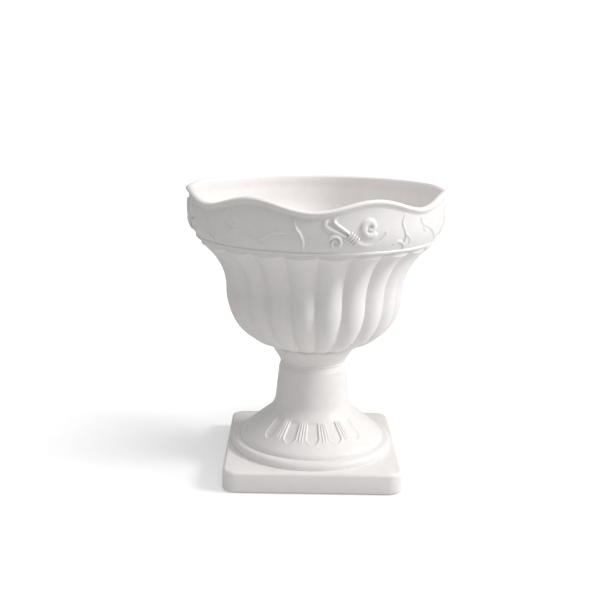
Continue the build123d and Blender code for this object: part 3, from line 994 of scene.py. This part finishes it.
def moulded_rubber(name, colour, grain_scale):
    """Matt rubber: a bloom of lighter grey in patches over a fine pebbled grain."""
    material, tree, shader = start_material(name, 0.72, 0.35)
    mask = use_grain(tree, shader, grain_scale, 0.35, 0.0002)
    bloom = use_dust(tree, 140.0, 0.5)
    lighter = tuple(min(1.0, 1.6 * part + 0.03) for part in colour)
    tree.links.new(mixed_colour(tree, bloom, colour, lighter), shader.inputs["Base Color"])
    tree.links.new(map_range(tree, mask, 0.3, 0.7, 0.62, 0.84), shader.inputs["Roughness"])
    return material


def moulded_nylon(finish):
    """Off-white nylon: slightly milky, with faint flow marks."""
    material, tree, shader = start_material("hand_bolt_nylon", 0.5, 0.4)
    mask = use_grain(tree, shader, 900.0, 0.25, 0.0001)
    darker = tuple(0.86 * part for part in finish.nylon)
    flow = map_range(tree, mask, 0.35, 0.65, 0.0, 0.6)
    tree.links.new(mixed_colour(tree, flow, finish.nylon, darker), shader.inputs["Base Color"])
    tree.links.new(map_range(tree, mask, 0.3, 0.7, 0.42, 0.58), shader.inputs["Roughness"])
    return material


def plated_steel(name, finish, scratch_scale):
    """Zinc-plated steel: a fine grain from a noise, with dull patches."""
    material, tree, shader = start_material(name, 0.35, 0.5, 1.0)
    mask = use_grain(tree, shader, scratch_scale, 0.3, 0.0001)
    stain = use_dust(tree, 260.0, 0.7)
    duller = tuple(0.62 * part for part in finish.steel)
    tree.links.new(mixed_colour(tree, stain, finish.steel, duller), shader.inputs["Base Color"])
    tree.links.new(map_range(tree, mask, 0.3, 0.7, 0.24, 0.46), shader.inputs["Roughness"])
    return material


def finish_node(name, material):
    """Gives a carried-over solid its own material."""
    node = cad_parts[name]
    node.data.materials.clear()
    node.data.materials.append(material)


# The stage, in metres
paper_half_width = 1.45
paper_front = -0.62
paper_back = 1.7
paper_bend = 1.0
paper_top = 4.0
paper_glow = 0.34
glow_start = 0.14
glow_end = 0.50
key_place = (1.65, -0.40, 1.25)
key_size = 0.5
top_place = (0.1, -0.40, 2.0)
top_size = 1.4
top_share = 0.52
light_aim = (0.0, 0.0, 0.2)
camera_side = -0.0263
camera_heading = 0.53
camera_pitch = -13.3
camera_roll = 1.09
focal_length_pixels = 893.0
picture_side_pixels = 614.0
sensor_side = 36.0


def studio_surface(name, colour, glow):
    """Plain matt paper for the floor: even colour, and some light of its own that only the camera sees and
    that grows away from the urn, so that the paper reads as white and the shadow stays close to the foot."""
    material, tree, shader = start_material(name, 1.0, 0.0)
    shader.inputs["Base Color"].default_value = (*colour, 1)
    shader.inputs["Emission Color"].default_value = (1, 1, 1, 1)
    where = tree.nodes.new("ShaderNodeTexCoord")
    distance = tree.nodes.new("ShaderNodeVectorMath")
    distance.operation = "LENGTH"
    tree.links.new(where.outputs["Object"], distance.inputs[0])
    strength = map_range(tree, distance.outputs["Value"], glow_start, glow_end, glow, 2.0 * glow)
    path = tree.nodes.new("ShaderNodeLightPath")
    seen = calculate(tree, "MULTIPLY", strength, path.outputs["Is Camera Ray"])
    tree.links.new(seen, shader.inputs["Emission Strength"])
    return material


def make_sweep(stage):
    """A sheet of paper on the floor that curves up behind: a straight run, a quarter round and a wall."""
    profile = np.concatenate([
        line((paper_front, 0.0), (paper_back, 0.0), 2),
        arc((paper_back, paper_bend), paper_bend, -np.pi / 2, 0, 24)[1:],
        line((paper_back + paper_bend, paper_bend), (paper_back + paper_bend, paper_top), 2)[1:],
    ])
    x = np.array([-paper_half_width, paper_half_width])
    rows = np.stack(np.broadcast_arrays(x[None, :], profile[:, :1], profile[:, 1:]), axis=-1)
    count = len(profile)
    index = np.arange(count * 2).reshape(count, 2)
    faces = np.stack([index[:-1, 0], index[:-1, 1], index[1:, 1], index[1:, 0]], axis=1)
    mesh = bpy.data.meshes.new("paper_sweep")
    mesh.from_pydata(rows.reshape(-1, 3).tolist(), [], faces.tolist())
    mesh.shade_smooth()
    mesh.materials.append(studio_surface("paper", stage.floor, paper_glow))
    sweep = bpy.data.objects.new("paper_sweep", mesh)
    bpy.context.scene.collection.objects.link(sweep)
    return sweep


def make_area_light(name, place, aim, size, power):
    """A square soft box at a place, turned to face a point."""
    light = bpy.data.lights.new(name, "AREA")
    light.shape = "SQUARE"
    light.size = size
    light.energy = power
    lamp = bpy.data.objects.new(name, light)
    lamp.location = place
    lamp.rotation_mode = "QUATERNION"
    lamp.rotation_quaternion = (Vector(aim) - Vector(place)).to_track_quat("-Z", "Y")
    bpy.context.scene.collection.objects.link(lamp)


def make_camera(stage):
    """The camera of the picture: a little left of the axis, looking down, and rolled by about a degree."""
    heading, pitch, roll = radians(camera_heading), radians(camera_pitch), radians(camera_roll)
    forward = Vector((np.sin(heading) * np.cos(pitch), np.cos(heading) * np.cos(pitch), np.sin(pitch)))
    level = Vector((np.cos(heading), -np.sin(heading), 0))
    above = level.cross(forward)
    right = level * np.cos(roll) + above * np.sin(roll)
    up = above * np.cos(roll) - level * np.sin(roll)
    data = bpy.data.cameras.new("camera")
    data.sensor_fit = "AUTO"
    data.sensor_width = sensor_side
    data.lens = focal_length_pixels / picture_side_pixels * sensor_side
    data.clip_start = 0.05
    data.clip_end = 50.0
    camera = bpy.data.objects.new("camera", data)
    turn = Matrix((right, up, -forward)).transposed().to_4x4()
    camera.matrix_world = Matrix.Translation((camera_side, -stage.distance, stage.height)) @ turn
    bpy.context.scene.collection.objects.link(camera)
    bpy.context.scene.camera = camera


class URN_OT_bowl(bpy.types.Operator):
    """Build the fluted bowl with its band, waves and rolled rim"""
    bl_idname = "urn.bowl"
    bl_label = "Bowl"

    def execute(self, context):
        mesh = build_bowl_mesh(context.scene.urn_shape)
        material = moulded_plastic("bowl_white_plastic", context.scene.urn_finish, 900.0)
        place_piece("bowl_moulding", mesh, "bowl_unit", "bowl_plastic", material, "bowl")
        return {"FINISHED"}


class URN_OT_pedestal(bpy.types.Operator):
    """Build the pedestal with its leaves, rings and plinth"""
    bl_idname = "urn.pedestal"
    bl_label = "Pedestal"

    def execute(self, context):
        mesh = build_pedestal_mesh(context.scene.urn_shape)
        material = moulded_plastic("pedestal_white_plastic", context.scene.urn_finish, 850.0)
        place_piece("pedestal_moulding", mesh, "base", "pedestal_plastic", material, "pedestal")
        return {"FINISHED"}


class URN_OT_bolt(bpy.types.Operator):
    """Build the threaded hand bolt"""
    bl_idname = "urn.bolt"
    bl_label = "Hand bolt"

    def execute(self, context):
        material = moulded_nylon(context.scene.urn_finish)
        place_piece("hand_bolt", build_bolt_mesh(), "bolt", "bolt_plastic", material, "clamp_bolt")
        return {"FINISHED"}


class URN_OT_metal(bpy.types.Operator):
    """Finish the steel washer and the nut"""
    bl_idname = "urn.metal"
    bl_label = "Washer and nut"

    def execute(self, context):
        finish = context.scene.urn_finish
        finish_node("flat_washer", plated_steel("washer_zinc", finish, 1500.0))
        finish_node("captive_nut", plated_steel("nut_zinc", finish, 1100.0))
        return {"FINISHED"}


class URN_OT_rubber(bpy.types.Operator):
    """Finish the seal, the drain plugs and the pads"""
    bl_idname = "urn.rubber"
    bl_label = "Rubber parts"

    def execute(self, context):
        finish = context.scene.urn_finish
        finish_node("seal_washer", moulded_rubber("seal_rubber", finish.rubber, 1300.0))
        plug = moulded_rubber("plug_rubber", finish.plug, 1500.0)
        pad = moulded_rubber("pad_rubber", finish.rubber, 1100.0)
        for number in (1, 2, 3):
            finish_node(f"drain_plug_{number}", plug)
        for number in (1, 2, 3, 4):
            finish_node(f"foot_pad_{number}", pad)
        return {"FINISHED"}


class URN_OT_stage(bpy.types.Operator):
    """Lay the paper, set the lights and the camera"""
    bl_idname = "urn.stage"
    bl_label = "Stage"

    def execute(self, context):
        stage = context.scene.urn_stage
        make_sweep(stage)
        make_area_light("key", key_place, light_aim, key_size, stage.key_power)
        make_area_light("top", top_place, light_aim, top_size, top_share * stage.key_power)
        world = bpy.data.worlds.new("studio")
        world.use_nodes = True
        background = world.node_tree.nodes["Background"]
        background.inputs["Color"].default_value = (1, 1, 1, 1)
        background.inputs["Strength"].default_value = stage.fill_strength
        context.scene.world = world
        context.scene.view_settings.view_transform = "Standard"
        make_camera(stage)
        return {"FINISHED"}


class URN_PT_tools(bpy.types.Panel):
    """Lists the pieces and the stage in the sidebar"""
    bl_idname = "URN_PT_tools"
    bl_label = "Pedestal urn"
    bl_space_type = "VIEW_3D"
    bl_region_type = "UI"
    bl_category = "Urn"

    def draw(self, context):
        for settings in (context.scene.urn_shape, context.scene.urn_finish, context.scene.urn_stage):
            column = self.layout.column()
            for label in settings.__annotations__:
                column.prop(settings, label)
        for operator in operators:
            self.layout.operator(operator.bl_idname)


operators = (URN_OT_bowl, URN_OT_pedestal, URN_OT_bolt, URN_OT_metal, URN_OT_rubber, URN_OT_stage)
classes = (UrnShape, UrnFinish, UrnStage, *operators, URN_PT_tools)


def register():
    for item in classes:
        bpy.utils.register_class(item)
    bpy.types.Scene.urn_shape = bpy.props.PointerProperty(type=UrnShape)
    bpy.types.Scene.urn_finish = bpy.props.PointerProperty(type=UrnFinish)
    bpy.types.Scene.urn_stage = bpy.props.PointerProperty(type=UrnStage)


def unregister():
    del bpy.types.Scene.urn_stage
    del bpy.types.Scene.urn_finish
    del bpy.types.Scene.urn_shape
    for item in reversed(classes):
        bpy.utils.unregister_class(item)


def main():
    """Registers the classes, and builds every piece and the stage."""
    register()
    for operator in operators:
        category, name = operator.bl_idname.split(".")
        getattr(getattr(bpy.ops, category), name)()


if __name__ == "__main__":
    main()
